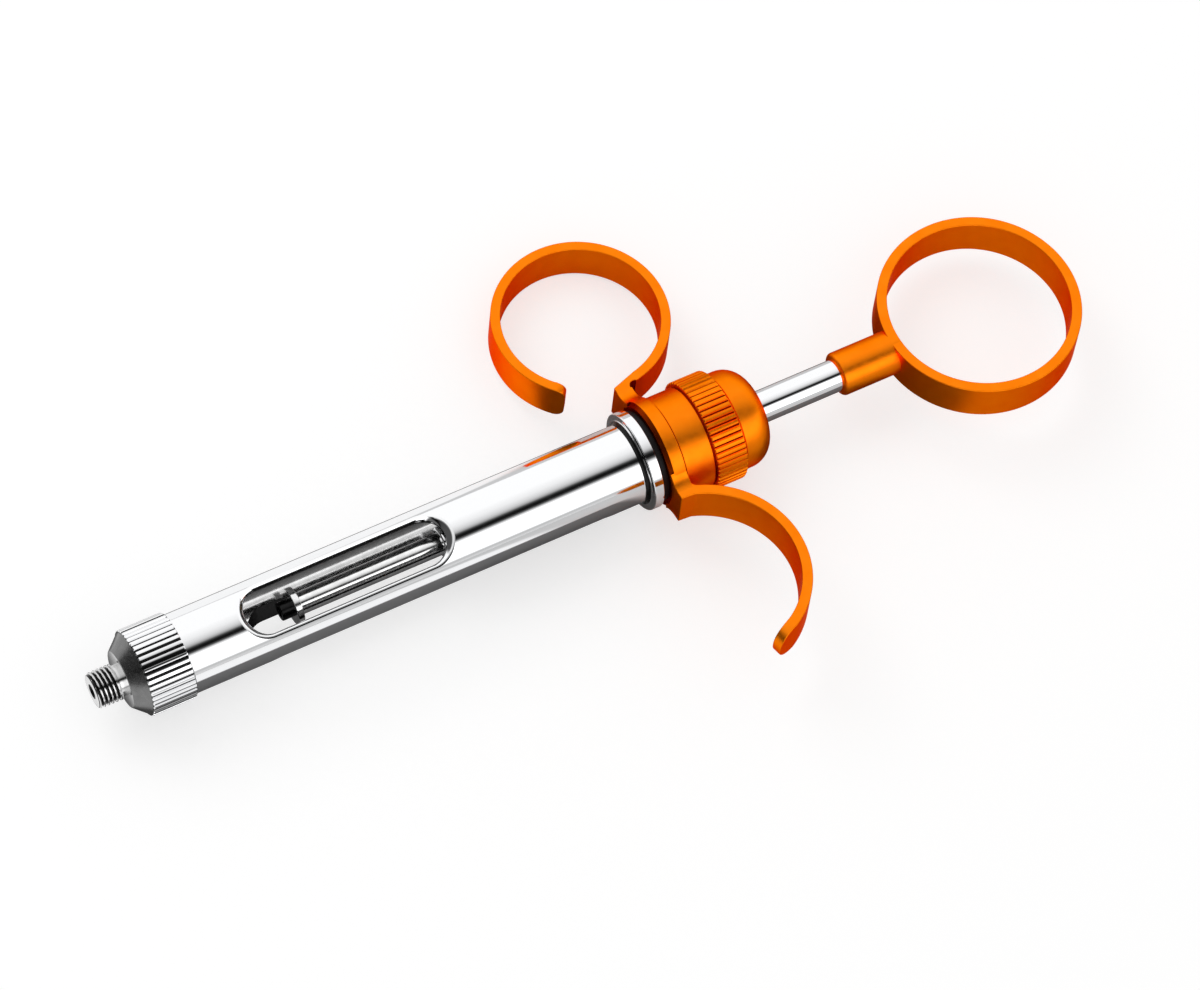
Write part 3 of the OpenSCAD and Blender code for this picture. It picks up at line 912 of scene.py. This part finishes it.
def root_blend_mesh(y_side, z_side):
    """One of the hollow corners between the round plate and the bands' flats."""
    flat = band_depth / 2
    inside_y, inside_depth = root_inside
    mid_z = flat + root_blend - sunk
    mid_y = sqrt((plate_r + root_blend - sunk) ** 2 - mid_z ** 2)
    bm = bmesh.new()
    first = corner(bm, None, plate_x, mid_y, mid_z - root_blend)
    last = bend(bm, first, (plate_x, mid_y, mid_z), degrees(atan2(mid_z, mid_y)) - 90,
                blend_steps, AXIS)
    last = corner(bm, last, plate_x, inside_y, flat - inside_depth)
    last = corner(bm, last, plate_x, mid_y, flat - inside_depth)
    extrude(bm, close(bm, first, last), (sleeve_x - plate_x, 0, 0))
    break_edges(bm, [
        edge for edge in bm.edges if abs(edge.verts[0].co.x - edge.verts[1].co.x) < fine
        and all(abs((vert.co.yz - Vector((mid_y, mid_z))).length - root_blend) < fine
                for vert in edge.verts)])
    bmesh.ops.scale(bm, vec=(1, y_side, z_side), verts=bm.verts[:])
    return bm


def make_grip():
    groove = sleeve_groove
    bm = turned([(plate_x, seat_bore_r), (plate_x, plate_r - plate_bevel, plate_round),
                 (plate_x + plate_bevel, plate_r, plate_round), (sleeve_x, plate_r, edge_round),
                 (sleeve_x, sleeve_r - groove), (sleeve_x + groove, sleeve_r - groove),
                 (sleeve_x + groove, sleeve_r, sleeve_round),
                 (cap_start - groove, sleeve_r, sleeve_round),
                 (cap_start - groove, sleeve_r - groove), (cap_start, sleeve_r - groove),
                 (cap_start, seat_bore_r)], grip_steps)
    # The plate's front face and the grooves at both ends of the sleeve get painted shade
    wall_r = seat_bore_r + 0.2
    groove_r = sleeve_r - 0.12
    bevel_x = plate_x + plate_bevel - plate_round
    paint(bm, 1, lambda x, r: x < bevel_x and r > wall_r)
    paint(bm, 1, lambda x, r: sleeve_x - hair < x < cap_start + hair and wall_r < r < groove_r)
    merge_into(bm, closed_ring_mesh())
    merge_into(bm, hook_mesh())
    for y_side in (-1, 1):
        for z_side in (-1, 1):
            merge_into(bm, root_blend_mesh(y_side, z_side))
    at_rest(bm)
    finish("finger_grip_body", bm, "barrel", [orange, orange_painted_shade],
           replaces="finger_grip")


# Knurled cap

def make_cap():
    outline = [(cap_start, seat_bore_r)]
    outline += [(x, cap_r) for x in knurl_rows(cap_start, cap_knurl_end, cap_chamfer)]
    outline += [(cap_knurl_end, neck_groove_r), (neck_groove_end, neck_groove_r),
                (neck_groove_end, dome_r, dome_step_round), (cap_end, dome_r, dome_round),
                (cap_end, rod_hole_r + rod_hole_chamfer), (cap_end - rod_hole_chamfer, rod_hole_r),
                (pocket_end, rod_hole_r), (pocket_end, pocket_r), (bush_end, pocket_r),
                (bush_end, seat_bore_r)]
    bm = turned(outline, cap_flutes * flute_points, 12)
    cut_flutes(bm, cap_start, cap_knurl_end, cap_r, cap_flutes, cap_groove, cap_groove_width,
               cap_chamfer)
    at_rest(bm)
    # The deeper parts of the knurl's grooves get painted shade
    knurl_floor = cap_r - cap_shade_share * cap_groove
    paint(bm, 1, lambda x, r: (cap_start + hair < x < cap_knurl_end - hair
                               and sleeve_r < r < knurl_floor))
    finish("guide_cap", bm, "barrel", [orange, orange_painted_shade],
           replaces="knurled_cap")


# Piston

def make_rod():
    bm = turned([(rod_start, 0), (rod_start, rod_neck_r), (rod_shoulder, rod_neck_r),
                 (rod_shoulder, rod_r, rod_shoulder_round), (boss_start, rod_r),
                 (boss_start, stud_r), (rod_end, stud_r), (rod_end, 0)])
    paint(bm, 1, lambda x, r: x < rod_shoulder - hair)
    finish("piston_rod_turned", bm, "piston", [chrome, satin_rod],
           replaces="piston_rod")


def make_disc():
    disc_x = rod_start - disc_len
    hole_end = disc_tip + stub_hole_depth
    bm = turned([(hole_end, 0), (hole_end, stub_hole_r), (disc_tip, stub_hole_r, stub_hole_round),
                 (disc_tip, stub_r, edge_round), (disc_x, stub_r), (disc_x, disc_r, edge_round),
                 (rod_start, disc_r, edge_round), (rod_start, pin_r), (pin_end, pin_r),
                 (pin_end, 0)])
    # The stub in front of the disc gets painted shade
    paint(bm, 1, lambda x, r: x < disc_x - hair)
    finish("piston_disc_turned", bm, "piston", [satin_rod, painted_shade_steel],
           replaces="piston_disc")


def make_thumb_ring():
    """The boss is turned about the barrel axis and the ring about its own."""
    inner_r = thumb_r - thumb_band
    boss_end = thumb_centre[0] - inner_r - boss_short
    bm = turned([(boss_start, boss_bore_r), (boss_start, boss_r, boss_round),
                 (boss_end, boss_r), (boss_end, boss_bore_r)], small_steps)
    ring = bmesh.new()
    half = band_depth / 2
    corners = [corner(ring, None, thumb_centre[0] + inner_r, 0, -half)]
    for radius, z in ((thumb_r, -half), (thumb_r, half), (inner_r, half)):
        corners.append(corner(ring, corners[-1], thumb_centre[0] + radius, 0, z))
    close(ring, corners[0], corners[-1])
    round_corners(ring, [(point, edge_round) for point in corners], 3)
    turn(ring, thumb_steps, (*thumb_centre, 0), UP)
    merge_into(bm, ring)
    at_rest(bm)
    finish("thumb_ring_body", bm, "piston", [orange],
           replaces="thumb_ring")


make_adaptor()
make_barrel()
make_washer()
make_grip()
make_cap()
make_rod()
make_disc()
make_thumb_ring()

# The inner pieces keep their CAD shapes
for node, material in (("guide_bush", bronze), ("rod_seal", rubber)):
    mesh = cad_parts[node].data
    mesh.materials.clear()
    mesh.materials.append(material)


# Floor, light and camera

def make_floor():
    """A white floor. Metal mirrors it white too, but with painted shade close to the syringe and by
    the rings.
    """
    bm = bmesh.new()
    bmesh.ops.create_grid(bm, x_segments=1, y_segments=1, size=floor_size)
    bmesh.ops.translate(bm, vec=(middle[0], 0, cad_low.z), verts=bm.verts[:])
    floor = new_object("floor", bm)
    pale = Finish("pale_floor", (floor_level, floor_level, floor_level), 0.0, 0.9)
    pale.shader.inputs["Specular IOR Level"].default_value = 0.0
    pale.shader.inputs["Emission Color"].default_value = (1, 1, 1, 1)
    place = pale.apart(pale.place)

    def within(value, centre, full, none):
        """1 up to one distance in millimetres from a centre, falling to 0 at another."""
        away = pale.maths("ABSOLUTE", pale.maths("SUBTRACT", value, centre * MM))
        return pale.to_range(away, 1.0, 0.0, full * MM, none * MM, "SMOOTHSTEP")

    paths = pale.add("ShaderNodeLightPath").outputs
    for_metal = paths["Is Glossy Ray"]
    # Painted shade, only where metal mirrors the floor: close to the syringe and by the rings
    along = pale.maths("MAXIMUM", *(within(place["X"], *stretch) for stretch in painted_shade_stretches))
    near = pale.maths("MULTIPLY", within(place["Y"], *painted_shade_strip), along)
    near = pale.maths("MULTIPLY", near, for_metal)
    by_rings = pale.to_range(place["X"], 0.0, 1.0, *(place_x * MM for place_x in rings_from),
                             kind="SMOOTHSTEP")
    by_rings = pale.maths("MULTIPLY", by_rings, for_metal)
    level = pale.between(by_rings, floor_level, floor_by_rings)
    level = pale.between(near, level, floor_near)
    pale.join(level, pale.shader.inputs["Base Color"])
    mirrored = pale.maths("SUBTRACT", for_metal, pale.maths("MAXIMUM", near, by_rings))
    seen = pale.maths("ADD", paths["Is Camera Ray"], mirrored)
    pale.join(pale.maths("MULTIPLY", seen, floor_lift), pale.shader.inputs["Emission Strength"])
    floor.data.materials.append(pale.material)


def make_world():
    """White for the camera, the studio's bands for metal, and a soft light on the rest."""
    world = bpy.data.worlds.new("studio")
    bpy.context.scene.world = world
    world.use_nodes = True
    studio = Nodes(world.node_tree)
    studio.tree.nodes.clear()
    place = studio.apart(studio.add("ShaderNodeTexCoord").outputs["Generated"])
    bands = studio.add("ShaderNodeValToRGB")
    ramp = bands.color_ramp
    for angle, level in studio_bands[1:-1]:
        ramp.elements.new(angle / 180)
    for element, (angle, level) in zip(ramp.elements, studio_bands):
        element.position = angle / 180
        element.color = (level, level, level, 1)
    round_axis = studio.maths("ARCTAN2", place["Z"], place["Y"])
    studio.join(studio.to_range(round_axis, 0.0, 1.0, 0.0, pi), bands.inputs["Fac"])
    past_needle = studio.to_range(place["X"], 1.0, 0.0, *patch_x, "SMOOTHSTEP")
    low_down = studio.to_range(place["Z"], 1.0, 0.0, *patch_z, "SMOOTHSTEP")
    dark = studio.maths("MULTIPLY", studio.maths("MULTIPLY", past_needle, low_down), patch_dark)
    lit = studio.maths("MULTIPLY", studio.maths("SUBTRACT", 1.0, dark), studio_strength)

    def background(strength, colour=None):
        node = studio.add("ShaderNodeBackground")
        node.inputs["Color"].default_value = (1, 1, 1, 1)
        if colour:
            studio.join(colour, node.inputs["Color"])
        studio.put(strength, node.inputs["Strength"])
        return node.outputs["Background"]

    paths = studio.add("ShaderNodeLightPath").outputs
    last = background(soft_strength)
    for ray, light in (("Is Glossy Ray", background(lit, bands.outputs["Color"])),
                       ("Is Camera Ray", background(1.0))):
        mix = studio.add("ShaderNodeMixShader")
        for output, socket in zip((paths[ray], last, light), mix.inputs):
            studio.join(output, socket)
        last = mix.outputs["Shader"]
    studio.join(last, studio.add("ShaderNodeOutputWorld").inputs["Surface"])


def make_key_light():
    """A wide soft light from behind on the left, so that shadows fall to the lower right."""
    light = bpy.data.lights.new("soft_key", "AREA")
    light.shape = "DISK"
    light.size = key_size
    light.energy = key_energy
    key = bpy.data.objects.new("soft_key", light)
    key.location = key_place
    aim = Vector(middle) - key.location
    key.rotation_euler = aim.to_track_quat("-Z", "Y").to_euler()
    key.visible_glossy = False
    bpy.context.scene.collection.objects.link(key)


def make_camera():
    """The camera, fitted to the photograph."""
    lens = bpy.data.cameras.new("photo_view")
    lens.sensor_width = camera_film
    lens.lens = camera_lens
    camera = bpy.data.objects.new("photo_view", lens)
    camera.location = camera_place
    camera.rotation_euler = [radians(angle) for angle in camera_turn]
    bpy.context.scene.collection.objects.link(camera)
    bpy.context.scene.camera = camera


make_floor()
make_world()
make_key_light()
make_camera()
bpy.context.scene.view_settings.view_transform = "Standard"
